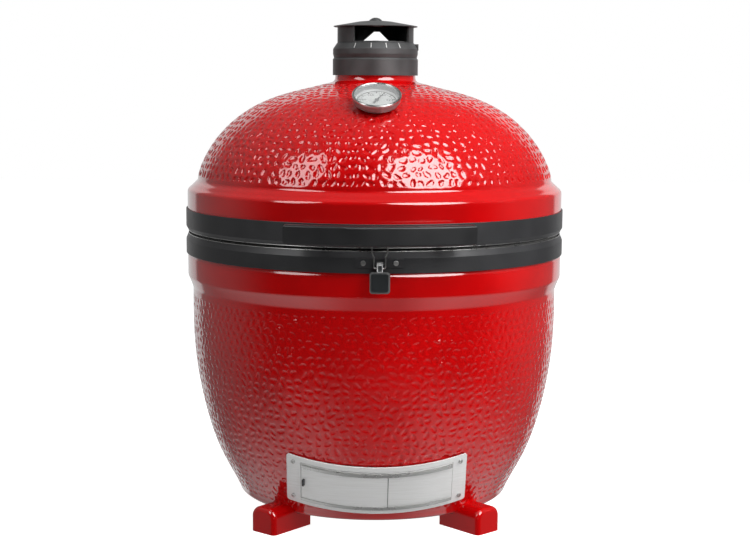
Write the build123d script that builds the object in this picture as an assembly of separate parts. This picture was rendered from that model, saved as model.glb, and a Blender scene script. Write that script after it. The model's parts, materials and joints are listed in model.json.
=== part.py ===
from build123d import *
import math
import os

# A large kamado ceramic grill that stands on three ceramic feet.
# Millimetres, +Z up, kettle axis on Z, floor at z = 0, front towards -Y.
# An azimuth is measured in degrees from the front (-Y) towards +X.

# ---- Driving dimensions -----------------------------------------------------
BAND_R = 353.5                 # outside of both steel bands
BAND_T = 2.5                   # band sheet thickness
RIM_R = 350.7                  # outside of both ceramic rims
RIM_IN_R = 317.0               # inside of both ceramic rims
GASKET_T = 6.0                 # one felt gasket
PARTING_Z = 521.5              # plane where the two gaskets meet
BASE_Z = 26.0                  # underside of the ceramic base
FLOOR_Z = 52.0                 # floor inside the ceramic base
REACH = 404.0                  # furthest the handle and the hinge stand from the axis
GAP = 0.3                      # clearance between pieces that move past each other
RUN = 0.05                     # radial running clearance of a pin in its bore

BASE_RIM_Z = PARTING_Z - GAP / 2 - GASKET_T
DOME_RIM_Z = PARTING_Z + GAP / 2 + GASKET_T
LOWER_BAND = (483.0, 509.0)    # z of the straight part of the lower band
UPPER_BAND = (533.0, 565.5)    # z of the straight part of the upper band

# Outside of the base from its bottom edge up to the smooth rim, as (radius, z)
BASE_SIDE = ((256.0, 38.0), (289.5, 103.0), (321.5, 199.0), (337.5, 292.0), (341.5, 365.0), (341.5, 416.0))
BASE_COVE = ((341.5, 416.0), (342.8, 421.5), (348.9, 437.0), (RIM_R, 443.0))
RIM_GROOVE = ((RIM_R, 477.5), (348.9, 480.2), (348.9, 485.0), (RIM_R, 487.0))   # under the band's lower edge
BASE_INSIDE = ((RIM_IN_R, 455.0), (310.0, 400.0), (307.0, 330.0), (296.0, 240.0), (271.0, 150.0),
               (236.0, 78.0))
# Outside of the dome from the top of the rim up to the chimney neck
DOME_COVE = ((RIM_R, 595.5), (349.3, 600.4), (344.2, 604.9), (336.0, 612.0), (331.0, 622.0))
DOME_SIDE = ((331.0, 622.0), (322.8, 649.0), (302.6, 685.0), (271.0, 721.0), (230.0, 751.0), (174.0, 775.0),
             (112.0, 791.0), (81.0, 799.0))
DOME_INSIDE = ((RIM_IN_R, 560.0), (300.0, 622.0), (270.0, 678.0), (218.0, 720.0), (160.0, 746.0),
               (97.0, 761.0), (70.0, 764.5))
NECK_R = 75.0                  # outside of the chimney neck
NECK_TOP = 826.0
CHIMNEY_R = 58.0               # bore of the chimney

FOOT_AZ = (-41.0, 41.0, 180.0)
FOOT_R = (212.0, 308.5)        # inner and outer end of a foot
FOOT_W, FOOT_H = 57.0, 46.0

HINGE_Y, HINGE_Z = 388.0, PARTING_Z
HINGE_PIN_R = 6.0
HINGE_BARREL_R = REACH - HINGE_Y

HANDLE_R = (386.0, REACH)
HANDLE_HALF_X = 161.0
HANDLE_Z = (533.0, 566.5)
HANDLE_BRACKET_AZ = 18.0

# Draw latch: the lever turns on its pin, the bail on the lever's eye
LATCH_Y, LATCH_Z = -364.0, 500.0
EYE_DY, EYE_DZ = 1.5, -6.8     # bail eye from the lever pin, at rest
LATCH_NECK = 5.0               # half width of the lever's neck
BAIL_X = 9.6
BAIL_WIRE_R = 1.1
BAIL_TOP_Z = 549.0

# Thermometer, set square to the dome
GAUGE_TILT = 62.0              # elevation of its axis above the horizon
GAUGE_FOOT = (-3.0, -214.0, 760.3)   # where its axis leaves the dome
GAUGE_R = 43.0
NEEDLE_REST = 28.0             # clockwise from straight up, seen from the front

# Top vent
COLLAR_R = 79.5
COLLAR_Z = (811.7, 843.6)
DECK_Z = (844.0, 871.0)
CAP_R = 71.0
CAP_Z = (871.3, 902.0)
ROOF_R = 78.6
ROOF_TOP = 912.5
BOSS_TOP = 918.0
VENT_HINGE = (86.0, 848.0)     # y and z
CAP_TURN = 11.0                # turn of the cap at rest

# Draft door hardware is rolled about an axis that leans forward with the wall
DRAFT_TILT = 24.3
DRAFT_CENTRE = (-287.0, 94.0)  # y and z of the middle of the frame's back face
DRAFT_R = 315.0
PLATE_T = 2.0
FRAME_HALF_AZ, FRAME_HALF_H = 29.8, 51.0
OPENING_HALF_AZ = 24.8
OPENING_H = (-44.1, 40.7)      # along the leaning axis
DRAWER_HALF_X = 117.0

GRATE_Z = 504.0                # centre plane of the cooking grates


# ---- Helpers ----------------------------------------------------------------
def line(*points):
    """Straight runs through (radius, z) points in the XZ plane."""
    return Polyline(*[(r, 0, z) for r, z in points]).edges()


def curve(*points, **tangents):
    """A smooth curve through (radius, z) points in the XZ plane."""
    return Spline(*[(r, 0, z) for r, z in points], **tangents).edges()


def arc(*points):
    return ThreePointArc(*[(r, 0, z) for r, z in points]).edges()


def outline(*stretches):
    """A face in the XZ plane from stretches that meet end to end."""
    edges = [edge for stretch in stretches for edge in stretch]
    return Face(Wire(edges))


def ring(points, rounding=0.0, half=180.0, azimuth=0.0):
    """Turns a closed (radius, z) polygon about Z, over azimuth +- half."""
    face = Face(Wire.make_polygon([(r, 0, z) for r, z in points], close=True))
    if rounding:
        face = face.fillet_2d(rounding, face.vertices())
    solid = revolve(face, Axis.Z, 2 * half)
    return Rot(0, 0, azimuth - half - 90) * solid


def tube(radius_in, radius_out, z_low, z_high, rounding=0.0, half=180.0, azimuth=0.0):
    corners = ((radius_in, z_low), (radius_out, z_low), (radius_out, z_high), (radius_in, z_high))
    return ring(corners, rounding, half, azimuth)


def radial(azimuth, radius, z):
    """A location whose local Z points away from the kettle axis."""
    a = math.radians(azimuth)
    out = (math.sin(a), -math.cos(a), 0)
    across = (math.cos(a), math.sin(a), 0)
    return Plane(origin=(radius * out[0], radius * out[1], z), x_dir=across, z_dir=out).location


def block(x, y, z):
    """A box from three (low, high) pairs."""
    sizes = [high - low for low, high in (x, y, z)]
    centre = [(low + high) / 2 for low, high in (x, y, z)]
    return Pos(*centre) * Box(*sizes)


def rod(start, end, radius):
    start, end = Vector(*start), Vector(*end)
    run = end - start
    return Plane(origin=start, z_dir=run).location * Cylinder(
        radius, run.length, align=(Align.CENTER, Align.CENTER, Align.MIN))


def x_rod(half_length, radius, y, z, x=0.0):
    return rod((x - half_length, y, z), (x + half_length, y, z), radius)


def disc(radius, low, high):
    """A cylinder about local Z from low to high."""
    return Pos(0, 0, low) * Cylinder(radius, high - low, align=(Align.CENTER, Align.CENTER, Align.MIN))


def screw(head_r, head_h, shank_r, shank_l):
    """A cap screw along local Z, its head standing on z = 0."""
    head = disc(head_r, 0, head_h)
    head = fillet(head.edges().sort_by(Axis.Z)[-1], head_h * 0.3)
    socket = extrude(Pos(0, 0, head_h * 0.45) * RegularPolygon(head_r * 0.5, 6), head_h)
    return head + disc(shank_r, -shank_l, 0.1) - socket


def half_ring_wire(radius, wire_r, z, half=180.0, azimuth=0.0):
    """A wire of round section bent to a radius about Z."""
    section = Plane.XZ * (Pos(radius, z) * Circle(wire_r))
    return Rot(0, 0, azimuth - half - 90) * revolve(section, Axis.Z, 2 * half)


def drilled(part, spots, radius, depth=20.0):
    """Drills a hole along local -Z at each spot, with room for a screw's shank."""
    for spot in spots:
        part -= spot * disc(radius + RUN, -depth, depth)
    return part


def group(*solids):
    return Compound(children=[part for solid in solids for part in solid.solids()])


# ---- Ceramic shell ----------------------------------------------------------
def base_outside(grow=0.0):
    """The outline from the middle of the underside up to the cove below the rim."""
    side = [(r + grow, z) for r, z in BASE_SIDE]
    edge_r, edge_z = side[0]
    flat_r = edge_r - 20
    return (line((0, BASE_Z), (flat_r, BASE_Z))
            + arc((flat_r, BASE_Z), (edge_r - 6, BASE_Z + 3.4), (edge_r, edge_z))
            + curve(*side, tangents=((0.45, 0, 1), (0, 0, 1))))


def base_bowl(grow=0.0):
    """The base's dimpled outside as a full solid, grown outward by a small amount."""
    top_r, top_z = BASE_SIDE[-1]
    return revolve(outline(
        base_outside(grow),
        line((top_r + grow, top_z), (0, top_z), (0, BASE_Z))), Axis.Z, 360)


def base_cavity(shrink=0.0):
    """The space inside the base as a full solid, its wall drawn in by a small amount."""
    side = [(r - shrink, z) for r, z in BASE_INSIDE]
    low_r, low_z = side[-1]
    floor_z = FLOOR_Z
    return revolve(outline(
        line((0, BASE_RIM_Z + 1), (side[0][0], BASE_RIM_Z + 1), side[0]),
        curve(*side),
        arc((low_r, low_z), (low_r - 13, low_z - 18), (low_r - 36, floor_z)),
        line((low_r - 36, floor_z), (0, floor_z), (0, BASE_RIM_Z + 1))), Axis.Z, 360)


def draft_outline(half_x, low, low_side, high, high_side):
    """A front-view outline with arched top and bottom edges, in the XZ plane."""
    return outline(
        arc((-half_x, low_side), (0, low), (half_x, low_side)),
        line((half_x, low_side), (half_x, high_side)),
        arc((half_x, high_side), (0, high), (-half_x, high_side)),
        line((-half_x, high_side), (-half_x, low_side)))


def base():
    shell = revolve(outline(
        base_outside(),
        curve(*BASE_COVE, tangents=((0, 0, 1), (0, 0, 1))),
        line(BASE_COVE[-1], *RIM_GROOVE, (RIM_R, BASE_RIM_Z - 8), (RIM_R - 5.5, BASE_RIM_Z), (0, BASE_RIM_Z),
             (0, BASE_Z))),
        Axis.Z, 360)
    draft_hole = extrude(draft_outline(136, 54, 66, 134.5, 146.5), 400, dir=(0, -1, 0))
    return shell - base_cavity() - draft_hole


def dome():
    inside_r, inside_z = DOME_INSIDE[-1]
    neck_curve = ((DOME_SIDE[-1]), (NECK_R + 1.2, 803.0), (NECK_R, 811.0))
    shell = revolve(outline(
        line((RIM_IN_R, DOME_RIM_Z), (RIM_R - 6.7, DOME_RIM_Z), (RIM_R, DOME_RIM_Z + 8.4), DOME_COVE[0]),
        curve(*DOME_COVE, tangents=((0, 0, 1), (-0.12, 0, 1))),
        curve(*DOME_SIDE, tangents=((-0.12, 0, 1), (-1, 0, 0.28))),
        curve(*neck_curve, tangents=((-1, 0, 0.28), (0, 0, 1))),
        line(neck_curve[-1], (NECK_R, NECK_TOP), (CHIMNEY_R, NECK_TOP), (CHIMNEY_R, inside_z + 8)),
        arc((CHIMNEY_R, inside_z + 8), (CHIMNEY_R + 3.5, inside_z + 2.2), (inside_r, inside_z)),
        curve(*reversed(DOME_INSIDE)),
        line(DOME_INSIDE[0], (RIM_IN_R, DOME_RIM_Z))), Axis.Z, 360)
    return shell - gauge_place() * disc(STEM_HOLE_R, -60, 20)


def foot(azimuth):
    inner, outer = FOOT_R
    half = FOOT_W / 2
    body = block((-half, half), (-outer, -inner), (0, FOOT_H))
    body = fillet(body.faces().sort_by(Axis.Z)[-1].edges().filter_by(Axis.Y), 18)
    front = body.faces().sort_by(Axis.Y)[0]
    body = fillet(front.edges().sort_by(Axis.Z)[1:], 8)
    return Rot(0, 0, azimuth) * body - base_bowl()


# ---- Bands and gaskets ------------------------------------------------------
def split(band):
    """Opens a band at the back, where the hinge plates join its ends."""
    return band - block((-5, 5), (BAND_R - 20, BAND_R + 5), (400, 700))


def lower_band():
    low, high = LOWER_BAND
    inner = BAND_R - BAND_T
    section = ((inner, low), (BAND_R, low), (BAND_R, high), (BAND_R - 4.6, high + 11),
               (BAND_R - 7.0, high + 10.0), (inner, high - 1.2))
    return split(ring(section, 0.7))


def upper_band():
    low, high = UPPER_BAND
    inner = BAND_R - BAND_T
    section = ((inner, high), (BAND_R, high), (BAND_R, low), (BAND_R - 4.3, low - 7.5),
               (BAND_R - 6.6, low - 6.4), (inner, low + 1.2))
    return split(ring(section, 0.7))


def gasket(z_low):
    return tube(RIM_IN_R + 3, RIM_R - 5.7, z_low, z_low + GASKET_T, 1.2)


# ---- Handle -----------------------------------------------------------------
def handle():
    low, high = HANDLE_Z
    slab = tube(*HANDLE_R, low, high, 4.0, 30)
    front = Plane.XZ * (Pos(0, (low + high) / 2) * RectangleRounded(2 * HANDLE_HALF_X, high - low, 7))
    slab = slab & extrude(front, 500, dir=(0, -1, 0))
    return drilled(slab, handle_screw_spots(), HANDLE_SCREW_R, HANDLE_SCREW_L + 0.5)


HANDLE_SCREW_R, HANDLE_SCREW_L = 2.0, 12.0


def handle_screw_spots():
    """Local Z points back at the kettle, out of each screw's head."""
    z = (HANDLE_Z[0] + HANDLE_Z[1]) / 2
    return [radial(side * HANDLE_BRACKET_AZ + step, HANDLE_R[0] - 3.03, z) * Rot(180, 0, 0)
            for side in (-1, 1) for step in (-2.3, 2.3)]


def handle_bracket(azimuth):
    low, high = HANDLE_Z[0] + 6, HANDLE_Z[1] - 8
    inner, outer = BAND_R, HANDLE_R[0]
    on_band = tube(inner, inner + 3, low, high, 0, 4.0, azimuth)
    on_handle = tube(outer - 3, outer, low, high, 0, 4.0, azimuth)
    web = Rot(0, 0, azimuth) * block((-3, 3), (1 - outer, -inner - 1), (low, high))
    return drilled(on_band + on_handle + web, handle_screw_spots(), HANDLE_SCREW_R)


def handle_screws():
    return group(*[spot * screw(3.6, 3.0, HANDLE_SCREW_R, HANDLE_SCREW_L) for spot in handle_screw_spots()])


# ---- Rear hinge -------------------------------------------------------------
def hinge_ear(x_low, x_high, z_low, z_high, bore_r):
    """An upright plate from the band to a barrel about the hinge pin."""
    plate_y = BAND_R - 12
    barrel = x_rod((x_high - x_low) / 2, HINGE_BARREL_R, HINGE_Y, HINGE_Z, (x_low + x_high) / 2)
    web = extrude(Plane.YZ * Polygon(
        (plate_y, z_low), (HINGE_Y, HINGE_Z - HINGE_BARREL_R * 0.8),
        (HINGE_Y, HINGE_Z + HINGE_BARREL_R * 0.8), (plate_y, z_high), align=None), x_high - x_low)
    ear = barrel + Pos(x_low, 0, 0) * web
    ear = ear - disc(BAND_R + 0.05, 0, 900)
    return ear - x_rod(60, bore_r, HINGE_Y, HINGE_Z, (x_low + x_high) / 2)


LOWER_EAR = (60.0, 70.0)
UPPER_EAR = (47.0, 59.0)
HINGE_PLATE_HALF_AZ = 14.0


HINGE_BOLT_R = 2.5


def hinge_bolt_spots(band):
    return [radial(180 + step, BAND_R + 4, sum(band) / 2) for step in (-12.6, -4.5, 4.5, 12.6)]


def hinge_lower():
    low, high = LOWER_BAND
    part = tube(BAND_R, BAND_R + 4, low + 1, high - 1, 0, HINGE_PLATE_HALF_AZ, 180)
    part += hinge_ear(*LOWER_EAR, low + 1, high - 1, HINGE_PIN_R)
    part += hinge_ear(-LOWER_EAR[1], -LOWER_EAR[0], low + 1, high - 1, HINGE_PIN_R)
    return drilled(part, hinge_bolt_spots(LOWER_BAND), HINGE_BOLT_R)


def hinge_upper():
    low, high = UPPER_BAND
    part = tube(BAND_R, BAND_R + 4, low + 1.5, high - 1.5, 0, HINGE_PLATE_HALF_AZ, 180)
    part += hinge_ear(*UPPER_EAR, low + 1.5, high - 1.5, HINGE_PIN_R + RUN)
    part += hinge_ear(-UPPER_EAR[1], -UPPER_EAR[0], low + 1.5, high - 1.5, HINGE_PIN_R + RUN)
    return drilled(part, hinge_bolt_spots(UPPER_BAND), HINGE_BOLT_R)


def hinge_bolts(band):
    return group(*[spot * screw(4.6, 4.0, HINGE_BOLT_R, 3.5) for spot in hinge_bolt_spots(band)])


def hinge_pin():
    return x_rod(LOWER_EAR[1] + 3, HINGE_PIN_R, HINGE_Y, HINGE_Z)


def hinge_pin_caps():
    x = LOWER_EAR[1] + 3
    cap = rod((x, HINGE_Y, HINGE_Z), (x + 5, HINGE_Y, HINGE_Z), 9)
    cap = fillet(cap.edges().sort_by(Axis.X)[-1], 2)
    return group(cap, mirror(cap, Plane.YZ))


def hinge_spring(side):
    """The outer shape of one counterbalance torsion spring about the pin."""
    coil = x_rod(17.5, 12.5, HINGE_Y, HINGE_Z, side * 26)
    return coil - x_rod(20, 8.5, HINGE_Y, HINGE_Z, side * 26)


# ---- Latch ------------------------------------------------------------------
def latch_bracket():
    plate = tube(BAND_R, BAND_R + 2.5, LATCH_Z - 7, LATCH_Z + 8.5, 0.8, 6.6, 0)
    plate_y = -(BAND_R + 1)
    for side in (-1, 1):
        x = sorted((side * (LATCH_NECK + GAP), side * (LATCH_NECK + 2.0)))
        plate += block(x, (LATCH_Y, plate_y), (LATCH_Z - 3.5, LATCH_Z + 3.5))
        plate += x_rod(0.85, 3.5, LATCH_Y, LATCH_Z, sum(x) / 2)
    return drilled(plate - x_rod(12, 1.5, LATCH_Y, LATCH_Z), latch_screw_spots(), LATCH_SCREW_R)


LATCH_SCREW_R = 2.0


def latch_screw_spots():
    return [radial(step, BAND_R + 2.5, LATCH_Z + 1) for step in (-4.4, 4.4)]


def latch_screws():
    return group(*[spot * screw(4.4, 2.6, LATCH_SCREW_R, 2.0) for spot in latch_screw_spots()])


def latch_pin():
    return x_rod(LATCH_NECK + 2.1, 1.5, LATCH_Y, LATCH_Z)


LEVER_TAB_Z = (452.0, 488.0)
LEVER_TAB_Y = -374.5


def latch_lever():
    hub = x_rod(LATCH_NECK, 4.2, LATCH_Y, LATCH_Z)
    eye = x_rod(LATCH_NECK, 2.9, LATCH_Y + EYE_DY, LATCH_Z + EYE_DZ)
    arm = extrude(Plane.YZ * Polygon(
        (LATCH_Y + 3.0, LATCH_Z), (LATCH_Y + EYE_DY + 2.9, LATCH_Z + EYE_DZ), (LATCH_Y - 1, LATCH_Z - 11),
        (LEVER_TAB_Y + 2.5, LEVER_TAB_Z[1] - 3), (LEVER_TAB_Y, LEVER_TAB_Z[1] - 3), (LATCH_Y - 4.2, LATCH_Z),
        align=None), LATCH_NECK, both=True)
    low, high = LEVER_TAB_Z
    tab = Plane.XZ * (Pos(0, (low + high) / 2) * RectangleRounded(34, high - low, 5))
    tab = Pos(0, LEVER_TAB_Y + 2.5, 0) * extrude(tab, 2.5, dir=(0, -1, 0))
    groove = extrude(Plane.YZ * Polygon(
        (LATCH_Y - 6, LATCH_Z - 2), (LEVER_TAB_Y - 2, LEVER_TAB_Z[1]), (LEVER_TAB_Y + 1.1, LEVER_TAB_Z[1]),
        (LATCH_Y - 3, LATCH_Z - 2), align=None), LATCH_NECK - 1.6, both=True)
    part = hub + eye + arm + tab - groove - x_rod(12, 1.5 + RUN, LATCH_Y, LATCH_Z)
    return part - x_rod(12, BAIL_WIRE_R + RUN, LATCH_Y + EYE_DY, LATCH_Z + EYE_DZ)


def latch_grip():
    low, high = LEVER_TAB_Z
    pad = Plane.XZ * (Pos(0, (low + high) / 2 + 0.8) * RectangleRounded(28.5, high - low - 5, 3.5))
    pad = Pos(0, LEVER_TAB_Y, 0) * extrude(pad, 3, dir=(0, -1, 0))
    return fillet(pad.faces().sort_by(Axis.Y)[0].edges(), 1.4)


def latch_bail():
    """A wire loop: two eye ends, two arms that flare, and a crossbar."""
    y, z = LATCH_Y + EYE_DY, LATCH_Z + EYE_DZ
    wide = BAIL_X + 3.4
    route = ((3.4, z), (BAIL_X, z), (BAIL_X, 512), (wide, 520), (wide, BAIL_TOP_Z))
    points = [(x, y, height) for x, height in route]
    points += [(-x, y, height) for x, height in reversed(route)]
    path = FilletPolyline(*points, radius=2.2)
    start = Plane(origin=path @ 0, z_dir=path % 0)
    return sweep(start * Circle(BAIL_WIRE_R), path)


def latch_strike():
    """The hook on the upper band, standing just clear of the released bail."""
    plate = tube(BAND_R, BAND_R + 2.5, 536, 563, 0, 2.3, 0)
    nose_y = LATCH_Y + EYE_DY + BAIL_WIRE_R + 1.6
    hook = extrude(Plane.YZ * Polygon(
        (-BAND_R - 1, 541), (nose_y, 543), (nose_y, 548.5), (nose_y + 1.6, 548.5), (-BAND_R - 1, 545.5),
        align=None), 8, both=True)
    return plate + hook


# ---- Thermometer ------------------------------------------------------------
STEM_HOLE_R = 7.0


def gauge_place():
    """Local Z along the thermometer's axis, local Y towards the top of its dial."""
    a = math.radians(GAUGE_TILT)
    out = (0, -math.cos(a), math.sin(a))
    return Plane(origin=GAUGE_FOOT, x_dir=(1, 0, 0), z_dir=out).location


def turned(points, rounding=0.0):
    """A solid turned about local Z from (radius, height) corners."""
    face = Face(Wire.make_polygon([(r, 0, z) for r, z in points], close=True))
    if rounding:
        face = face.fillet_2d(rounding, [v for v in face.vertices() if v.X > 1])
    return revolve(face, Axis.Z, 360)


def gauge_case():
    cup = turned(((STEM_HOLE_R - 2, 0.6), (28, 0.6), (33.5, 2.0), (38.5, 5.6), (41.2, 10.2), (42.2, 17.0),
                  (40.4, 17.0), (39.0, 10.6), (36.6, 7.0), (1.55, 7.0), (1.55, 3.0), (STEM_HOLE_R - 2, 3.0)))
    return gauge_place() * cup


def gauge_bezel():
    lip = ((40.6, 17.1), (42.4, 17.1), (GAUGE_R, 18.2), (GAUGE_R, 20.4), (42.2, 21.6), (40.2, 21.6),
           (39.4, 20.9), (40.6, 20.3))
    return gauge_place() * turned(lip)


def gauge_dial():
    dish = ((2.2, 7.2), (35.4, 7.2), (37.8, 10.4), (37.0, 10.9), (34.8, 8.2), (2.2, 8.2))
    return gauge_place() * turned(dish)


def gauge_needle():
    """A pointer on a shaft that runs in the case."""
    outline = ((-1.9, -11), (1.9, -11), (1.5, 0), (0.4, 26), (-0.4, 26), (-1.5, 0))
    blade = extrude(Polygon(*outline, align=None), 0.8)
    pointer = Rot(0, 0, -NEEDLE_REST) * Pos(0, 0, 9.6) * blade
    return gauge_place() * (pointer + disc(3.4, 9.3, 11.2) + disc(1.5, 3.2, 9.6))


def gauge_glass():
    return gauge_place() * disc(40.3, 18.4, 20.2)


def gauge_stem():
    """The probe, from the case through the wall into the cooking space."""
    probe = disc(3.0, -95, -2) + disc(4.9, -46, 2.9)
    return gauge_place() * fillet(probe.edges().sort_by(Axis.Z)[0], 1.5)


def gauge_nut():
    nut = extrude(Pos(0, 0, -43.5) * RegularPolygon(13, 6), 6) + disc(16, -37.5, -36)
    return gauge_place() * (nut - disc(4.95, -60, 0))


# ---- Top vent ---------------------------------------------------------------
def vent_collar():
    low, high = COLLAR_Z
    neck = NECK_R + 0.8
    section = ((neck, low), (COLLAR_R, low), (COLLAR_R, high - 3), (COLLAR_R - 2, high), (56, high),
               (56, high - 4), (neck, high - 4))
    collar = ring(section)
    for side in (-1, 1):
        x = sorted((side * 12.3, side * 20))
        y, z = VENT_HINGE
        collar += block(x, (COLLAR_R - 3, y), (high - 16, z)) + x_rod(3.85, 4.5, y, z, sum(x) / 2)
    collar -= disc(COLLAR_R + GAP, high, high + 20)
    return collar - x_rod(30, 2.5, *VENT_HINGE)


def vent_gasket():
    return tube(CHIMNEY_R + 1, NECK_R - 1, NECK_TOP + 0.1, COLLAR_Z[1] - 4.1, 1)


def vent_hinge_pin():
    return x_rod(20.5, 2.5, *VENT_HINGE)


AIR_SECTORS = (-45.0, 135.0)   # middles of the deck's two air holes
AIR_HALF = 42.0


def vent_deck():
    """The body of the vent: a waisted ring under a flat deck with two air holes."""
    low, high = DECK_Z
    section = ((COLLAR_R - 2, low), (COLLAR_R - 0.3, low + 7), (COLLAR_R - 0.3, high - 11),
               (CAP_R + 0.8, high), (12, high), (12, high - 5), (62, high - 5), (70, high - 10), (70, low))
    deck = ring(section) + disc(13, high - 8, high)
    for azimuth in AIR_SECTORS:
        deck -= tube(18, 58, high - 10, high + 1, 0, AIR_HALF, azimuth)
    y, z = VENT_HINGE
    deck += block((-12, 12), (CAP_R + 2, y), (z - 2, z + 4.5)) + x_rod(12, 4.5, y, z)
    ear = Rot(0, 0, 88) * block((-9, 9), (-COLLAR_R - 0.6, -CAP_R - 1), (high - 13, high - 1.5))
    return deck + ear - x_rod(30, 2.5 + RUN, y, z) - disc(SPINDLE_R + RUN, 0, 900)


def vent_ticks():
    """Four raised marks on the sloped face below the cap's window."""
    high = DECK_Z[1]
    slope = math.degrees(math.atan2(COLLAR_R - 0.3 - CAP_R - 0.8, 11))
    marks = []
    for azimuth in (-31, -7.5, 13.5, 33.5):
        spot = radial(azimuth, (COLLAR_R - 0.3 + CAP_R + 0.8) / 2, high - 5.5)
        marks.append(spot * Rot(-slope, 0, 0) * Pos(0, 0, 0.2) * Box(1.8, 11, 0.8))
    return group(*marks)


SPINDLE_R = 4.0


def vent_spindle():
    """A rivet up through the hubs of the deck and the cap."""
    under, over = DECK_Z[1] - 8.1, CAP_Z[0] + 3.1
    return disc(SPINDLE_R, under - 1, over + 1) + disc(7, under - 3, under) + disc(6.5, over, over + 1.5)


def vent_cap():
    """A drum with a wide window in front, a peaked one behind, and a thin roof with a boss."""
    low, high = CAP_Z
    roof = turned(((0, ROOF_TOP - 4.5), (30, ROOF_TOP - 5.2), (ROOF_R - 2, high - 1.6), (ROOF_R, high - 0.4),
                   (ROOF_R - 1, high + 0.6), (30, ROOF_TOP - 1.6), (12, ROOF_TOP), (11, ROOF_TOP + 1.6),
                   (7, BOSS_TOP - 1.2), (3, BOSS_TOP), (0, BOSS_TOP)))
    wall = tube(CAP_R - 4, CAP_R, low, high + 1.0)
    floor = tube(SPINDLE_R + RUN, CAP_R - 2, low, low + 3.0)
    for azimuth in AIR_SECTORS:
        floor -= tube(17, 60, low - 1, low + 5, 0, AIR_HALF - 4, azimuth)
    window = tube(CAP_R - 10, CAP_R + 10, low + 1.5, high - 0.9, 0, 47, 0)
    outline = ((-26, low + 1.5), (31, low + 1.5), (9.5, low + 23), (-1, low + 23))
    peak = extrude(Plane.XZ * Polygon(*outline, align=None), 200, dir=(0, 1, 0))
    return Rot(0, 0, CAP_TURN) * (roof + wall + floor - window) - peak


# ---- Draft door and ash drawer ----------------------------------------------
def draft_place():
    """Local Z along the leaning axis that the draft plates are rolled about."""
    t = math.radians(DRAFT_TILT)
    lean = (0, -math.sin(t), math.cos(t))
    y, z = DRAFT_CENTRE
    centre = (0, y + DRAFT_R * math.cos(t), z + DRAFT_R * math.sin(t))
    return Plane(origin=centre, x_dir=(1, 0, 0), z_dir=lean).location


def rolled(inner, outer, h_low, h_high, az_low, az_high):
    """A curved plate between two azimuths, rolled about the leaning axis."""
    half, middle = (az_high - az_low) / 2, (az_high + az_low) / 2
    return draft_place() * tube(DRAFT_R + inner, DRAFT_R + outer, h_low, h_high, 0, half, middle)


def draft_frame():
    plate = rolled(1.0, 1.0 + PLATE_T, -FRAME_HALF_H, FRAME_HALF_H, -FRAME_HALF_AZ, FRAME_HALF_AZ)
    corners = [edge for edge in plate.edges() if abs(edge.length - PLATE_T) < 0.01]
    plate = fillet(corners, 5) - rolled(-5, 9, *OPENING_H, -OPENING_HALF_AZ, OPENING_HALF_AZ)
    return drilled(plate, frame_screw_spots(), FRAME_SCREW_R)


def draft_frame_gasket():
    """Fills the space between the frame and the wall of the base."""
    pad = rolled(-9, 0.9, 2 - FRAME_HALF_H, FRAME_HALF_H - 2, 0.5 - FRAME_HALF_AZ, FRAME_HALF_AZ - 0.5)
    pad -= rolled(-12, 5, OPENING_H[0] - 2, OPENING_H[1] + 2, -OPENING_HALF_AZ - 0.5, OPENING_HALF_AZ + 0.5)
    return drilled(pad, frame_screw_spots(), FRAME_SCREW_R) - base_bowl(0.05)


FRAME_SCREW_R = 2.0


def frame_screw_spots():
    place, face = draft_place(), DRAFT_R + 1.0 + PLATE_T
    return [place * radial(side * 27.4, face, height) for side in (-1, 1) for height in (-38, 38)]


def draft_frame_screws():
    return group(*[spot * screw(4.0, 2.4, FRAME_SCREW_R, 2.8) for spot in frame_screw_spots()])


DRAWER_EDGE_AZ = OPENING_HALF_AZ - 0.15
DRAWER_EDGE_H = (OPENING_H[0] + 0.9, OPENING_H[1] - 1.6)
WINDOW_AZ = (-21.0, 2.4)
WINDOW_H = (-34.0, 31.0)
DOOR_AZ = (-24.2, 3.4)
DOOR_H = (-38.5, 36.0)


def drawer_front():
    plate = rolled(1.0, 1.0 + PLATE_T, *DRAWER_EDGE_H, -DRAWER_EDGE_AZ, DRAWER_EDGE_AZ)
    return plate - rolled(-5, 9, *WINDOW_H, *WINDOW_AZ)


def door_rail(edge, outward):
    """One channel that holds an edge of the door; outward is +1 at the top."""
    web = sorted((edge + outward * 0.4, edge + outward * 2.0))
    lip = sorted((edge + outward * 2.0, edge - outward * 4.0))
    az = (-DRAWER_EDGE_AZ + 0.3, DRAWER_EDGE_AZ - 0.3)
    return rolled(1.0 + PLATE_T, 7.0, *web, *az) + rolled(5.8, 7.0, *lip, *az)


def draft_door():
    return rolled(3.6, 5.2, *DOOR_H, *DOOR_AZ)


def draft_door_knob():
    place = draft_place() * radial(DOOR_AZ[0] + 0.7, DRAFT_R + 5.2, 1.5)
    tab = Pos(0, 0, 3) * Box(3.6, 13, 6)
    return place * fillet(tab.faces().sort_by(Axis.Z)[-1].edges(), 1.2)


def draft_screen():
    """A thin slotted sheet behind the window."""
    sheet = rolled(0.0, 0.9, WINDOW_H[0] - 3, WINDOW_H[1] + 3, WINDOW_AZ[0] - 0.6, WINDOW_AZ[1] + 0.6)
    rows, columns = 6, 16
    for row in range(rows):
        height = WINDOW_H[0] + (row + 0.5) * (WINDOW_H[1] - WINDOW_H[0]) / rows
        for column in range(columns):
            azimuth = WINDOW_AZ[0] + (column + 0.5) * (WINDOW_AZ[1] - WINDOW_AZ[0]) / columns
            spot = draft_place() * radial(azimuth, DRAFT_R, height)
            sheet -= spot * Box(4.4, 8.0, 8.0)
    return sheet


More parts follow.
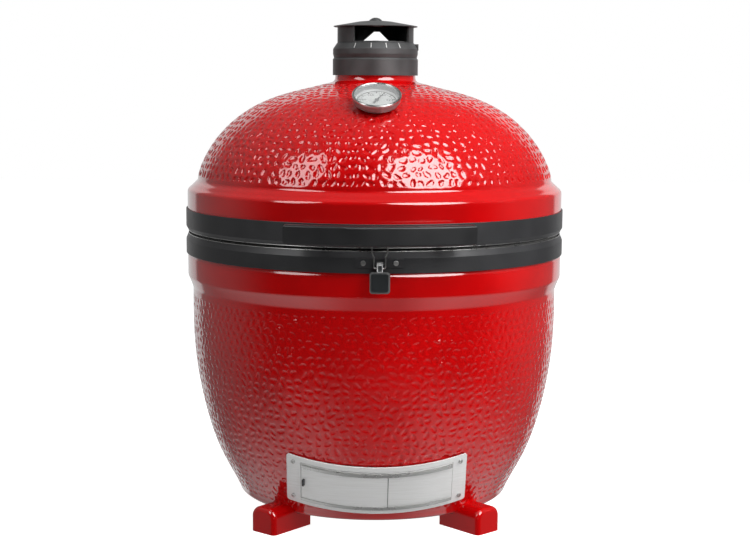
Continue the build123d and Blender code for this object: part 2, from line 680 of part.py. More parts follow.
def drawer_box():
    """An open tray with an arched floor that meets the back of its front plate."""
    half, back, top = DRAWER_HALF_X, 30.0, 122.0
    outside = outline(
        arc((-half, 67), (0, 56.5), (half, 67)), line((half, 67), (half, top), (-half, top), (-half, 67)))
    inside = outline(
        arc((1.4 - half, 68.4), (0, 57.9), (half - 1.4, 68.4)),
        line((half - 1.4, 68.4), (half - 1.4, top + 9), (1.4 - half, top + 9), (1.4 - half, 68.4)))
    tray = Pos(0, back, 0) * extrude(outside, 400, dir=(0, -1, 0))
    tray -= Pos(0, back - 1.4, 0) * extrude(inside, 400, dir=(0, -1, 0))
    return tray & draft_place() * disc(DRAFT_R - 0.1, -400, 400)


# ---- Inside the kettle ------------------------------------------------------
FIREBOX_Z = (140.0, 165.0)
PANEL_TOP = 395.0
RING_TOP = 452.0
ASH_HOLE_R = 105.0


def firebox_base():
    low, high = FIREBOX_Z
    plate = ring(((ASH_HOLE_R, low), (261, low), (269, high), (ASH_HOLE_R, high)), 3)
    legs = block((126, 260), (-60, 150), (FLOOR_Z, low + 5))
    legs += block((-260, -126), (-60, 150), (FLOOR_Z, low + 5))
    legs += block((-60, 60), (110, 230), (FLOOR_Z, low + 5))
    return plate + (legs & base_cavity(3))


def firebox_panel(number):
    low = FIREBOX_Z[1] + GAP
    section = ((232, low), (262, low), (280, PANEL_TOP), (250, PANEL_TOP))
    return ring(section, 3, 29.2, 30 + 60 * number)


def firebox_band():
    return tube(279.4, 281.0, 362, 380, 0.5)


def fire_ring():
    low = PANEL_TOP + GAP
    part = ring(((252, low), (284, low), (300, RING_TOP), (268, RING_TOP)), 3)
    for azimuth in (30, 150, 270):
        part -= Rot(0, 0, azimuth) * block((-12, 12), (-320, -240), (low - 1, low + 16))
    return part


def charcoal_grate():
    """A cast disc with straight slots that covers the ash hole."""
    low = FIREBOX_Z[1] + GAP
    part = disc(200, low, low + 11)
    for step in range(-7, 8):
        x = step * 24
        reach = math.sqrt(182 ** 2 - x ** 2)
        part -= block((x - 6, x + 6), (6, reach), (0, 300)) + block((x - 6, x + 6), (-reach, -6), (0, 300))
    return part


RACK_LOW_Z = RING_TOP + 3.6
RACK_WIRE = 3.5
CROSS_BAR_DROP, BAR_R = 1.5, 2.2
RACK_TOP_Z = GRATE_Z - CROSS_BAR_DROP - BAR_R - RACK_WIRE - GAP


def cooking_rack():
    part = half_ring_wire(284, RACK_WIRE, RACK_LOW_Z) + half_ring_wire(294, RACK_WIRE, RACK_TOP_Z)
    for azimuth in (30, 150, 270):
        turn = Rot(0, 0, azimuth)
        part += turn * rod((0, -284, RACK_LOW_Z), (0, -294, RACK_TOP_Z), RACK_WIRE)
    for x in (-90, 90):
        reach = math.sqrt(284 ** 2 - x ** 2)
        part += rod((x, -reach, RACK_LOW_Z), (x, reach, RACK_LOW_Z), RACK_WIRE)
    return part


def half_disc(radius, side, gap, low, high):
    keep = sorted((side * gap, side * (radius + 5)))
    return disc(radius, low, high) & block(keep, (-radius - 5, radius + 5), (low - 5, high + 5))


def deflector(side):
    low = RACK_LOW_Z + RACK_WIRE + 0.1
    plate = half_disc(262, side, 1.5, low, low + 14)
    return fillet(plate.faces().sort_by(Axis.Z)[-1].edges(), 3)


GRATE_R = 300.0


def cooking_grate(side):
    """A half-moon of parallel bars inside a heavier rim."""
    rim_r, bar_r = 3.0, BAR_R
    rim_x = 5.0
    part = half_ring_wire(GRATE_R, rim_r, GRATE_Z, 89.0, side * 90)
    reach = GRATE_R * math.sin(math.radians(89))
    part += rod((side * rim_x, -reach, GRATE_Z), (side * rim_x, reach, GRATE_Z), rim_r)
    for step in range(1, 19):
        x = rim_x + step * 15.6
        length = math.sqrt(GRATE_R ** 2 - x ** 2)
        part += rod((side * x, -length, GRATE_Z), (side * x, length, GRATE_Z), bar_r)
    for y in (-130, 0, 130):
        length = math.sqrt(GRATE_R ** 2 - y ** 2)
        z = GRATE_Z - CROSS_BAR_DROP
        part += rod((side * rim_x, y, z), (side * length, y, z), bar_r)
    return part


# ---- Write one file per piece -----------------------------------------------
def pieces():
    yield "base", base()
    yield "dome", dome()
    for name, azimuth in zip(("left", "right", "rear"), FOOT_AZ):
        yield "foot_" + name, foot(azimuth)
    yield "base_band", lower_band()
    yield "dome_band", upper_band()
    yield "base_gasket", gasket(BASE_RIM_Z)
    yield "dome_gasket", gasket(DOME_RIM_Z - GASKET_T)
    yield "handle", handle()
    yield "handle_bracket_left", handle_bracket(-HANDLE_BRACKET_AZ)
    yield "handle_bracket_right", handle_bracket(HANDLE_BRACKET_AZ)
    yield "handle_screws", handle_screws()
    yield "hinge_lower_bracket", hinge_lower()
    yield "hinge_upper_bracket", hinge_upper()
    yield "hinge_lower_bolts", hinge_bolts(LOWER_BAND)
    yield "hinge_upper_bolts", hinge_bolts(UPPER_BAND)
    yield "hinge_pin", hinge_pin()
    yield "hinge_pin_caps", hinge_pin_caps()
    yield "hinge_spring_left", hinge_spring(-1)
    yield "hinge_spring_right", hinge_spring(1)
    yield "latch_bracket", latch_bracket()
    yield "latch_screws", latch_screws()
    yield "latch_pin", latch_pin()
    yield "latch_lever", latch_lever()
    yield "latch_grip", latch_grip()
    yield "latch_bail", latch_bail()
    yield "latch_strike", latch_strike()
    yield "gauge_case", gauge_case()
    yield "gauge_bezel", gauge_bezel()
    yield "gauge_dial", gauge_dial()
    yield "gauge_needle", gauge_needle()
    yield "gauge_glass", gauge_glass()
    yield "gauge_stem", gauge_stem()
    yield "gauge_nut", gauge_nut()
    yield "vent_collar", vent_collar()
    yield "vent_gasket", vent_gasket()
    yield "vent_hinge_pin", vent_hinge_pin()
    yield "vent_deck", vent_deck() + vent_ticks()
    yield "vent_spindle", vent_spindle()
    yield "vent_cap", vent_cap()
    yield "draft_frame", draft_frame()
    yield "draft_frame_gasket", draft_frame_gasket()
    yield "draft_frame_screws", draft_frame_screws()
    yield "drawer_front", drawer_front()
    yield "drawer_rails", group(door_rail(DOOR_H[1], 1), door_rail(DOOR_H[0], -1))
    yield "drawer_box", drawer_box()
    yield "draft_screen", draft_screen()
    yield "draft_door", draft_door()
    yield "draft_door_knob", draft_door_knob()
    yield "firebox_base", firebox_base()
    yield "firebox_panels", group(*[firebox_panel(number) for number in range(6)])
    yield "firebox_band", firebox_band()
    yield "fire_ring", fire_ring()
    yield "charcoal_grate", charcoal_grate()
    yield "cooking_rack", cooking_rack()
    for name, side in (("left", -1), ("right", 1)):
        yield "deflector_" + name, deflector(side)
        yield "cooking_grate_" + name, cooking_grate(side)


os.makedirs("parts", exist_ok=True)
for node, shape in pieces():
    export_step(shape, "parts/" + node + ".step")
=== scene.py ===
import json
import math

import bmesh
import bpy
import numpy as np
from mathutils import Matrix, Vector
from mathutils.geometry import delaunay_2d_cdt
from mathutils.kdtree import KDTree


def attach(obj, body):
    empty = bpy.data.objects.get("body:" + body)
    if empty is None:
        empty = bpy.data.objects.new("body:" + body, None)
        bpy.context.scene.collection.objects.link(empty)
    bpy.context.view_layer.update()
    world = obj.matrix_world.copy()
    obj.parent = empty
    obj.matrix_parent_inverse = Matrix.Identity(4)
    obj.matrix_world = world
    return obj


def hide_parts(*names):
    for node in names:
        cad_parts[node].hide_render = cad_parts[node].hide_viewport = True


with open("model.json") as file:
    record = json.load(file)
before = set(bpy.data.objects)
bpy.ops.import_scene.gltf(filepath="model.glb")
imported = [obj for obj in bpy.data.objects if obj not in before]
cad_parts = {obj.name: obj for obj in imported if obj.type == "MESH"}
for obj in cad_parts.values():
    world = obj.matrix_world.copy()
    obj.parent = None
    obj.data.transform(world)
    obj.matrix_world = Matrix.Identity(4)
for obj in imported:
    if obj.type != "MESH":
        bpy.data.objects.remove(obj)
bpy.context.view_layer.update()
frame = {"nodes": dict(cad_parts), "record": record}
nodes = frame["nodes"]
MM = 0.001
TURN = 2 * math.pi

# ---- Profiles of the ceramic shells, in millimetres: (radius, z) --------------
BASE_SIDE = ((256, 38), (289.5, 103), (321.5, 199), (337.5, 292), (341.5, 365), (341.5, 416))
BASE_COVE = ((341.5, 416), (342.8, 421.5), (348.9, 437), (350.7, 443))
RIM_GROOVE = ((350.7, 475.6), (350.35, 477.4), (349.6, 478.9), (348.9, 480.2), (348.9, 485), (350.7, 487))
BASE_INSIDE = ((317, 455), (310, 400), (307, 330), (296, 240), (271, 150), (236, 78))
BASE_BOTTOM_Z, BASE_FLOOR_Z = 26, 52
BASE_RIM_Z, DOME_RIM_Z = 515.35, 527.65
RIM_R, RIM_IN_R = 350.7, 317
DOME_COVE = ((350.7, 595.5), (349.5, 600.6), (344.6, 605.2), (338.2, 611.3), (332.2, 617.0), (331.4, 618.6),
             (331.15, 620.2), (331, 622))
DOME_SIDE = ((331, 622), (322.8, 649), (302.6, 685), (271, 721), (230, 751), (174, 775), (112, 791),
             (81, 799))
DOME_NECK = ((81, 799), (76.2, 803), (75, 811))
DOME_INSIDE = ((317, 560), (300, 622), (270, 678), (218, 720), (160, 746), (97, 761), (70, 764.5))
NECK_R, NECK_TOP = 75, 826
CHIMNEY_R, CHIMNEY_FOOT = 58, ((58, 772.5), (61.5, 766.7))       # bore of the neck and its flared foot
RIM_CHAMFER = (6.7, 8.4)       # inward and upward
BOTTOM_FLAT_R = 215            # the base's flat bottom, inside its rounded corner
CORNER_FROM, CORNER_WIDE, CORNER_HIGH = 236, 20, 12
BASE_DIMPLES_FROM_Z, DOME_DIMPLES_TO_R = 43, 93
DRAFT_OPENING = (136, 54, 66, 134.5, 146.5)    # half width, then its bottom and top: middle, sides
COLUMNS = 256                  # facets round a smooth ring

# ---- Frames of small parts, in metres -------------------------------------------
SPRING_Y, SPRING_Z = 0.388, 0.5215
STEM_HOLE_R = 0.007
GAUGE = Matrix.Translation((-0.003, -0.214, 0.7603)) @ Matrix.Rotation(math.radians(28), 4, "X")

# ---- Dimples, in metres -------------------------------------------------------
DIMPLE_PITCH = 0.0170          # from one dimple to the next along a row
DIMPLE_ROW = 0.0141            # from one row to the next
DIMPLE_HALF_W = 0.0058
DIMPLE_HALF_L = (0.0014, 0.0047)
BASE_DIMPLE, DOME_DIMPLE = (0.00130, 0.00080), (0.00175, 0.00170)    # depths at the low and high end
LAND_FLAT, LAND_WAVE = 0.80, 0.022               # how far lands follow the outline, and how they stray
LAND = 0.0020                  # glaze left between two dimples


# ---- Small node-graph helpers -------------------------------------------------
class Graph:
    """A material's node tree with short names for what the materials here use."""

    def __init__(self, name):
        self.material = bpy.data.materials.new(name)
        self.material.use_nodes = True
        self.tree = self.material.node_tree
        self.shader = self.tree.nodes["Principled BSDF"]
        self.coordinates = self.tree.nodes.new("ShaderNodeTexCoord").outputs["Object"]

    def add(self, kind, inputs=None, **properties):
        node = self.tree.nodes.new("ShaderNode" + kind)
        for key, value in properties.items():
            setattr(node, key, value)
        for key, value in (inputs or {}).items():
            self.put(node.inputs[key], value)
        return node

    def put(self, socket, value):
        if isinstance(value, bpy.types.NodeSocket):
            self.tree.links.new(value, socket)
        else:
            socket.default_value = value

    def set(self, **sockets):
        """Sets the shader's sockets; an underscore stands for a space in a name."""
        for key, value in sockets.items():
            self.put(self.shader.inputs[key.replace("_", " ")], value)
        return self

    def stretched(self, scale):
        return self.add("Mapping", {"Vector": self.coordinates, "Scale": scale}).outputs["Vector"]

    def noise(self, scale, detail=3.0, vector=None, roughness=0.5):
        return self.add("TexNoise", {"Vector": vector or self.coordinates, "Scale": scale, "Detail": detail,
                                     "Roughness": roughness}).outputs["Fac"]

    def ramp(self, factor, *stops):
        """Maps a factor to colours given as (position, colour)."""
        node = self.add("ValToRGB", {"Fac": factor})
        elements = node.color_ramp.elements
        while len(elements) < len(stops):
            elements.new(0.5)
        for element, (position, colour) in zip(elements, stops):
            element.position = position
            element.color = (*colour, 1) if len(colour) == 3 else colour
        return node.outputs["Color"]

    def span(self, factor, low, high, from_low=0.3, from_high=0.7):
        """Maps a factor to a number between low and high."""
        return self.add("MapRange", {"Value": factor, "From Min": from_low, "From Max": from_high,
                                     "To Min": low, "To Max": high}).outputs["Result"]

    def bump(self, height, strength, distance, below=None):
        inputs = {"Height": height, "Strength": strength, "Distance": distance}
        if below is not None:
            inputs["Normal"] = below
        return self.add("Bump", inputs).outputs["Normal"]


def tint(colour, factor):
    return tuple(min(1.0, channel * factor) for channel in colour)


# ---- Materials ----------------------------------------------------------------
def red_glaze(name):
    """Thick red glaze: it pools darker in places and its skin is never quite flat."""
    g = Graph(name)
    red = (0.64, 0.0013, 0.0022)
    drift = g.noise(9.0, 4.0)
    pooled = g.ramp(drift, (0.30, tint(red, 0.86)), (0.55, red), (0.78, tint(red, 1.10)))
    skin = g.bump(g.noise(150.0, 2.0), 0.05, 0.0006)
    speck = g.noise(1400.0, 1.0)
    return g.set(Base_Color=pooled, Roughness=g.span(speck, 0.09, 0.16), Normal=skin, IOR=1.58,
                 Coat_Weight=0.8, Coat_IOR=1.58, Coat_Roughness=0.03).material


def refractory(name, colour):
    """Bare fired clay: sandy, pitted and slightly mottled."""
    g = Graph(name)
    blotch = g.noise(22.0, 5.0)
    shade = g.ramp(blotch, (0.30, tint(colour, 0.80)), (0.55, colour), (0.80, tint(colour, 1.12)))
    sand = g.noise(900.0, 3.0)
    pits = g.add("TexVoronoi", {"Vector": g.coordinates, "Scale": 210.0}).outputs["Distance"]
    rough = g.bump(sand, 0.30, 0.0005)
    return g.set(Base_Color=shade, Roughness=g.span(blotch, 0.82, 0.94),
                 Normal=g.bump(g.span(pits, 0.0, 1.0, 0.03, 0.16), 0.25, 0.0004, rough)).material


def powder_coat(name, colour, roughness, coat):
    """Baked powder coat with its fine orange peel."""
    g = Graph(name)
    wear = g.noise(14.0, 4.0)
    shade = g.ramp(wear, (0.30, tint(colour, 0.85)), (0.70, tint(colour, 1.18)))
    return g.set(Base_Color=shade, Roughness=g.span(wear, roughness - 0.05, roughness + 0.06),
                 Normal=g.bump(g.noise(1700.0, 2.0), 0.35, 0.00012), Coat_Weight=coat,
                 Coat_Roughness=0.25).material


def brushed(name, colour, roughness, grain, metallic):
    """Rolled stainless: long fine scratches along one direction and faint stains."""
    g = Graph(name)
    place = g.stretched(grain)
    scratch = g.noise(1.0, 4.0, place, 0.65)
    stain = g.noise(11.0, 4.0)
    shade = g.ramp(scratch, (0.25, tint(colour, 0.88)), (0.75, tint(colour, 1.08)))
    return g.set(Base_Color=shade, Metallic=metallic,
                 Roughness=g.span(stain, roughness - 0.04, roughness + 0.07),
                 Normal=g.bump(scratch, 0.10, 0.00006), Anisotropic=0.45).material


def polished(name, colour, roughness):
    """Plated or polished metal with faint haze."""
    g = Graph(name)
    haze = g.noise(45.0, 4.0)
    shade = g.ramp(haze, (0.30, tint(colour, 0.94)), (0.70, tint(colour, 1.04)))
    return g.set(Base_Color=shade, Metallic=1.0, Roughness=g.span(haze, roughness * 0.7, roughness * 1.4),
                 Normal=g.bump(g.noise(260.0, 2.0), 0.05, 0.0001)).material


def cast_metal(name, colour, roughness, metallic):
    """A casting: coarse sand skin under a thin coat."""
    g = Graph(name)
    cloud = g.noise(30.0, 5.0)
    shade = g.ramp(cloud, (0.30, tint(colour, 0.82)), (0.70, tint(colour, 1.2)))
    coarse = g.bump(g.noise(420.0, 4.0), 0.40, 0.0003)
    return g.set(Base_Color=shade, Metallic=metallic,
                 Roughness=g.span(cloud, roughness - 0.06, roughness + 0.08),
                 Normal=g.bump(g.noise(1500.0, 2.0), 0.25, 0.00012, coarse)).material


def felt(name, colour):
    """Woven fibre cord: two crossed waves broken up by fuzz."""
    g = Graph(name)
    warp = g.add("TexWave", {"Vector": g.coordinates, "Scale": 260.0, "Distortion": 3.0},
                 bands_direction="DIAGONAL")
    fuzz = g.noise(1800.0, 3.0)
    shade = g.ramp(fuzz, (0.25, tint(colour, 0.72)), (0.75, tint(colour, 1.12)))
    weave = g.bump(warp.outputs["Fac"], 0.5, 0.0004)
    return g.set(Base_Color=shade, Roughness=g.span(fuzz, 0.88, 1.0), Normal=g.bump(fuzz, 0.5, 0.0003, weave),
                 Sheen_Weight=0.3).material


def moulded(name, colour, roughness):
    """Moulded plastic with a faint spark-eroded grain."""
    g = Graph(name)
    grain = g.noise(2300.0, 2.0)
    drift = g.noise(18.0, 3.0)
    shade = g.ramp(drift, (0.30, tint(colour, 0.88)), (0.70, tint(colour, 1.15)))
    return g.set(Base_Color=shade, Roughness=g.span(drift, roughness - 0.04, roughness + 0.05),
                 Normal=g.bump(grain, 0.25, 0.00008)).material


def clear_glass(name):
    g = Graph(name)
    smear = g.noise(60.0, 3.0)
    return g.set(Base_Color=g.ramp(smear, (0.3, (0.93, 0.96, 0.96)), (0.7, (0.98, 0.99, 0.99))),
                 Roughness=g.span(smear, 0.0, 0.03), IOR=2.2, Alpha=0.15).material


make = {
    "red_glaze": lambda: red_glaze("red_glaze"),
    "refractory": lambda: refractory("refractory", (0.56, 0.47, 0.37)),
    "band_black": lambda: powder_coat("band_black", (0.028, 0.028, 0.030), 0.44, 0.08),
    "felt": lambda: felt("felt", (0.045, 0.044, 0.042)),
    "handle_black": lambda: moulded("handle_black", (0.013, 0.013, 0.014), 0.42),
    "steel": lambda: polished("steel", (0.56, 0.56, 0.55), 0.30),
    "draft_plate": lambda: brushed("draft_plate", (0.97, 0.97, 0.95), 0.38, (9.0, 60.0, 900.0), 0.08),
    "satin_grey": lambda: brushed("satin_grey", (0.30, 0.30, 0.30), 0.40, (60.0, 60.0, 60.0), 0.7),
    "steel_bright": lambda: polished("steel_bright", (0.68, 0.68, 0.67), 0.31),
    "spring_steel": lambda: brushed("spring_steel", (0.10, 0.10, 0.105), 0.34, (700.0, 40.0, 40.0), 1.0),
    "dark_grip": lambda: moulded("dark_grip", (0.020, 0.022, 0.024), 0.30),
    "dial": lambda: moulded("dial", (0.50, 0.51, 0.50), 0.40),
    "needle": lambda: moulded("needle", (0.012, 0.012, 0.012), 0.45),
    "glass": lambda: clear_glass("glass"),
    "cast_grey": lambda: cast_metal("cast_grey", (0.055, 0.056, 0.057), 0.46, 0.0),
    "cast_iron": lambda: cast_metal("cast_iron", (0.030, 0.029, 0.029), 0.62, 0.3),
    "paint": lambda: moulded("paint", (0.55, 0.55, 0.54), 0.5),
    "brass": lambda: polished("brass", (0.62, 0.45, 0.20), 0.25),
}
finish = {name: build() for name, build in make.items()}
slot_of = {part["node"]: part["material_slot"] for part in frame["record"]["subparts"]}


def dress(obj, *materials):
    obj.data.materials.clear()
    for material in materials:
        obj.data.materials.append(material)


for node, obj in nodes.items():
    dress(obj, finish[slot_of[node]])
for node in ("draft_frame", "draft_door", "drawer_front"):
    dress(nodes[node], finish["draft_plate"])


# ---- Mesh helpers -------------------------------------------------------------
def piece(name, vertices, faces, body, materials, smooth=True):
    """A mesh object in the row frame that rides on a CAD body."""
    mesh = bpy.data.meshes.new(name)
    mesh.from_pydata([tuple(v) for v in vertices], [], [tuple(f) for f in faces])
    mesh.update()
    if smooth:
        mesh.shade_smooth()
    obj = bpy.data.objects.new(name, mesh)
    bpy.context.scene.collection.objects.link(obj)
    dress(obj, *materials)
    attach(obj, body)
    return obj


def cubic(points, samples, start=None, end=None):
    """Samples a smooth curve through points, with set end directions if given."""
    p = np.array(points, float)
    step = np.linalg.norm(np.diff(p, axis=0), axis=1)
    knots = np.concatenate([[0], np.cumsum(step)])
    count = len(p)
    a = np.zeros((count, count))
    b = np.zeros((count, 2))
    for i in range(1, count - 1):
        a[i, i - 1:i + 2] = step[i], 2 * (step[i - 1] + step[i]), step[i - 1]
        b[i] = 3 * (step[i] / step[i - 1] * (p[i] - p[i - 1]) + step[i - 1] / step[i] * (p[i + 1] - p[i]))
    for row, other, direction, run in ((0, 1, start, step[0]), (count - 1, count - 2, end, step[-1])):
        a[row, row] = 1
        if direction is None:
            a[row, other] = 0.5
            b[row] = 1.5 * (p[max(row, other)] - p[min(row, other)]) / run
        else:
            b[row] = np.array(direction) / np.linalg.norm(direction)
    slope = np.linalg.solve(a, b)
    where = np.linspace(0, knots[-1], samples)
    i = np.clip(np.searchsorted(knots, where, side="right") - 1, 0, count - 2)
    h = step[i][:, None]
    t = ((where - knots[i]) / step[i])[:, None]
    return ((2 * t**3 - 3 * t**2 + 1) * p[i] + (t**3 - 2 * t**2 + t) * h * slope[i]
            + (3 * t**2 - 2 * t**3) * p[i + 1] + (t**3 - t**2) * h * slope[i + 1])


class Shell:
    """Collects rings and patches of one closed surface of revolution."""

    def __init__(self):
        self.vertices, self.faces, self.zones = [], [], []

    def ring(self, radius, z):
        first = len(self.vertices)
        for k in range(COLUMNS):
            a = TURN * k / COLUMNS + TURN / 4
            self.vertices.append((radius * math.cos(a), radius * math.sin(a), z))
        return [first + k for k in range(COLUMNS)]

    def join(self, low, high, zone):
        for k in range(COLUMNS):
            n = (k + 1) % COLUMNS
            self.faces.append((low[k], low[n], high[n], high[k]))
            self.zones.append(zone)

    def loft(self, previous, points, zone):
        """Adds rings at (radius, z) points in millimetres and joins them up."""
        for radius, z in points:
            current = self.ring(radius * MM, z * MM)
            if previous is not None:
                self.join(previous, current, zone)
            previous = current
        return previous

    def cap(self, ring, z, upward, zone):
        centre = len(self.vertices)
        self.vertices.append((0, 0, z * MM))
        for k in range(COLUMNS):
            n = (k + 1) % COLUMNS
            self.faces.append((ring[k], ring[n], centre) if upward else (ring[n], ring[k], centre))
            self.zones.append(zone)


class Profile:
    """A stretch of outline with the angle-true height that keeps dimples round."""

    def __init__(self, points):
        self.points = np.array(points) * MM
        runs = np.linalg.norm(np.diff(self.points, axis=0), axis=1)
        middle = (self.points[1:, 0] + self.points[:-1, 0]) / 2
        self.height = np.concatenate([[0], np.cumsum(runs / middle)])
        self.along = np.concatenate([[0], np.cumsum(runs)])
        tangent = np.gradient(self.points, axis=0)
        tangent /= np.linalg.norm(tangent, axis=1)[:, None]
        self.normal = np.column_stack([tangent[:, 1], -tangent[:, 0]])

    def at(self, height):
        height = np.asarray(height)
        return [np.interp(height, self.height, column) for column in (*self.points.T, *self.normal.T)]

    def place(self, turn, height, depth):
        r, z, nr, nz = self.at(height)
        r = r - depth * nr
        return np.column_stack([-r * np.sin(turn), r * np.cos(turn), z - depth * nz])


def dimple_centres(profile, rng):
    """Staggered rows of dimple centres, unevenly spaced, as (turn, height)."""
    centres = []
    margin = DIMPLE_HALF_W + 0.0014
    rows = round((profile.along[-1] - 2 * margin) / DIMPLE_ROW)
    for row in range(rows + 1):
        spot = margin + (profile.along[-1] - 2 * margin) * row / rows
        height = np.interp(spot, profile.along, profile.height)
        radius = profile.at(height)[0]
        count = round(TURN * radius / DIMPLE_PITCH)
        stagger = 0.25 if row % 2 else -0.25
        for k in range(count):
            turn = TURN * (k + 0.5 + stagger + rng.uniform(-0.20, 0.20)) / count
            stray = rng.uniform(-0.24, 0.24) if 0 < row < rows else 0
            centres.append((turn, height + stray * DIMPLE_ROW / radius))
    return np.array(centres)


def reach(points, spine_ends):
    """Distance from each point to each spine, both in one local plane."""
    a, b = spine_ends[:, 0], spine_ends[:, 1]
    run = b - a
    along = ((points[:, None] - a[None]) * run[None]).sum(2) / np.maximum((run**2).sum(1), 1e-12)[None]
    foot = a[None] + np.clip(along, 0, 1)[..., None] * run[None]
    return np.linalg.norm(points[:, None] - foot, axis=2)


RIM_STEPS = 13
RINGS = ((1.0, 0.0, 13), (0.78, 0.46, 11), (0.45, 0.86, 7))   # share of width, share of depth, points


def dimple_points(profile, rng, depth_there):
    """Points of every dimple as (turn, height, depth): three rims and a spine each."""
    centres = dimple_centres(profile, rng)
    count = len(centres)
    radius = profile.at(centres[:, 1])[0]
    lean = rng.uniform(0, math.pi, count)
    half = rng.uniform(*DIMPLE_HALF_L, count)
    wide = DIMPLE_HALF_W * rng.uniform(0.86, 1.12, count)
    bend = rng.uniform(-0.0012, 0.0012, count)
    axis = np.column_stack([np.cos(lean), np.sin(lean)])
    spines = centres[:, None] + np.stack([-axis, axis], 1) * (half / radius)[:, None, None]
    tree = KDTree(count)
    for i, spot in enumerate(profile.place(centres[:, 0], centres[:, 1], 0)):
        tree.insert(spot, i)
    tree.balance()
    turn_phase = np.arange(RIM_STEPS) * TURN / RIM_STEPS
    found = []
    for i in range(count):
        near = [j for _, j, _ in tree.find_range(profile.place(*centres[i][:, None], 0)[0], 0.034) if j != i]
        ends = (spines[near] - centres[i]) * radius[i]
        ends[:, :, 0] -= np.round(ends[:, :1, 0] / (TURN * radius[i])) * TURN * radius[i]
        phase = turn_phase + rng.uniform(0, TURN)
        cos, sin = np.cos(phase), np.sin(phase)
        foot_x = half[i] * np.sign(cos) * np.abs(cos) ** 0.8
        foot_y = bend[i] * (2 * (foot_x / half[i]) ** 2 - 1)
        across = np.array([-axis[i][1], axis[i][0]])
        foot = foot_x[:, None] * axis[i] + foot_y[:, None] * across
        ray = (cos[:, None] * axis[i] + sin[:, None] * across) * wide[i]
        share = np.ones(RIM_STEPS)
        for _ in range(7):
            spot = foot + share[:, None] * ray
            room = reach(spot, ends).min(1) - share * wide[i] - LAND
            sides = np.minimum(centres[i][0], TURN - centres[i][0]) * radius[i]
            toward = spot[:, 0] if centres[i][0] > math.pi else -spot[:, 0]
            edges = np.minimum(profile.height[-1] - centres[i][1],
                               centres[i][1] - profile.height[0]) * radius[i]
            upward = spot[:, 1] if centres[i][1] * 2 > profile.height[-1] + profile.height[0] else -spot[:, 1]
            room = np.minimum(room, np.minimum(sides - toward - 0.0012, edges - upward - 0.0012) * 2)
            share = np.clip(share + np.minimum(room, 0) / (2 * wide[i]), 0.05, 1)
        share = np.minimum(share, (np.roll(share, 1) + np.roll(share, -1) + share) / 3 + 0.08)
        if np.median(share) < 0.42:
            continue
        deep = np.interp(centres[i][1], profile.height[[0, -1]], depth_there)
        deep *= rng.uniform(0.85, 1.15) * min(1, np.median(share) + 0.15)
        rim = foot + share[:, None] * ray
        for width, depth, points in RINGS:
            pick = np.round(np.arange(points) * RIM_STEPS / points).astype(int) % RIM_STEPS
            ring = foot[pick] + (rim[pick] - foot[pick]) * width
            for x, y in ring / radius[i] + centres[i]:
                found.append((x, y, deep * depth))
        for end in (-0.5, 0.5):
            x, y = axis[i] * half[i] * end / radius[i] + centres[i]
            found.append((x, y, deep))
    return np.array(found)


def dimpled_patch(shell, low, points, zone, depth, seed):
    """Fills a stretch of the shell with dimpled glaze; returns its top ring."""
    profile = Profile(points)
    rng = np.random.default_rng(seed)
    inside = dimple_points(profile, rng, depth)
    keep = (inside[:, 0] > 1e-4) & (inside[:, 0] < TURN - 1e-4)
    keep &= (inside[:, 1] > profile.height[0] + 1e-4) & (inside[:, 1] < profile.height[-1] - 1e-4)
    inside = inside[keep]
    high = shell.ring(*profile.points[-1])
    seam_steps = int((profile.height[-1] - profile.height[0]) / (TURN / COLUMNS))
    seam = [profile.height[0] + (profile.height[-1] - profile.height[0]) * k / seam_steps
            for k in range(1, seam_steps)]
    first = len(shell.vertices)
    seam_ids = [first + k for k in range(len(seam))]
    shell.vertices += [tuple(v) for v in profile.place(np.zeros(len(seam)), np.array(seam), 0)]
    inner_ids = [len(shell.vertices) + k for k in range(len(inside))]
    shell.vertices += [tuple(v) for v in profile.place(*inside.T)]
    flat, owner = [], []
    for k in range(COLUMNS + 1):
        for ring, height in ((low, profile.height[0]), (high, profile.height[-1])):
            flat.append(Vector((TURN * k / COLUMNS, height)))
            owner.append(ring[k % COLUMNS])
    for turn in (0.0, TURN):
        flat += [Vector((turn, height)) for height in seam]
        owner += seam_ids
    flat += [Vector((turn, height)) for turn, height, _ in inside]
    owner += inner_ids
    _, _, triangles, sources, _, _ = delaunay_2d_cdt(flat, [], [], 0, 1e-7)
    for triangle in triangles:
        corners = [owner[sources[v][0]] for v in triangle]
        if len(set(corners)) == 3:
            shell.faces.append(corners)
            shell.zones.append(zone)
    return high


GLAZED, BARE = 0, 1


def ceramic(name, shell, body, seed_note):
    obj = piece(name, shell.vertices, shell.faces, body,
                (finish["red_glaze"], finish["refractory"]))
    for polygon, zone in zip(obj.data.polygons, shell.zones):
        polygon.material_index = zone
    tidy = bmesh.new()
    tidy.from_mesh(obj.data)
    bmesh.ops.recalc_face_normals(tidy, faces=tidy.faces)
    open_edges = sum(1 for edge in tidy.edges if not edge.is_manifold)
    print(name, "faces", len(tidy.faces), "open edges", open_edges, seed_note)
    tidy.to_mesh(obj.data)
    tidy.free()
    obj.data.set_sharp_from_angle(angle=math.radians(52))
    return obj


def bore(obj, cutter):
    """Cuts a closed mesh out of another and drops the cutter."""
    change = obj.modifiers.new("cut", "BOOLEAN")
    change.operation, change.solver, change.object = "DIFFERENCE", "MANIFOLD", cutter
    graph = bpy.context.evaluated_depsgraph_get()
    mesh = bpy.data.meshes.new_from_object(obj.evaluated_get(graph))
    obj.modifiers.clear()
    obj.data = mesh
    bpy.data.objects.remove(cutter)


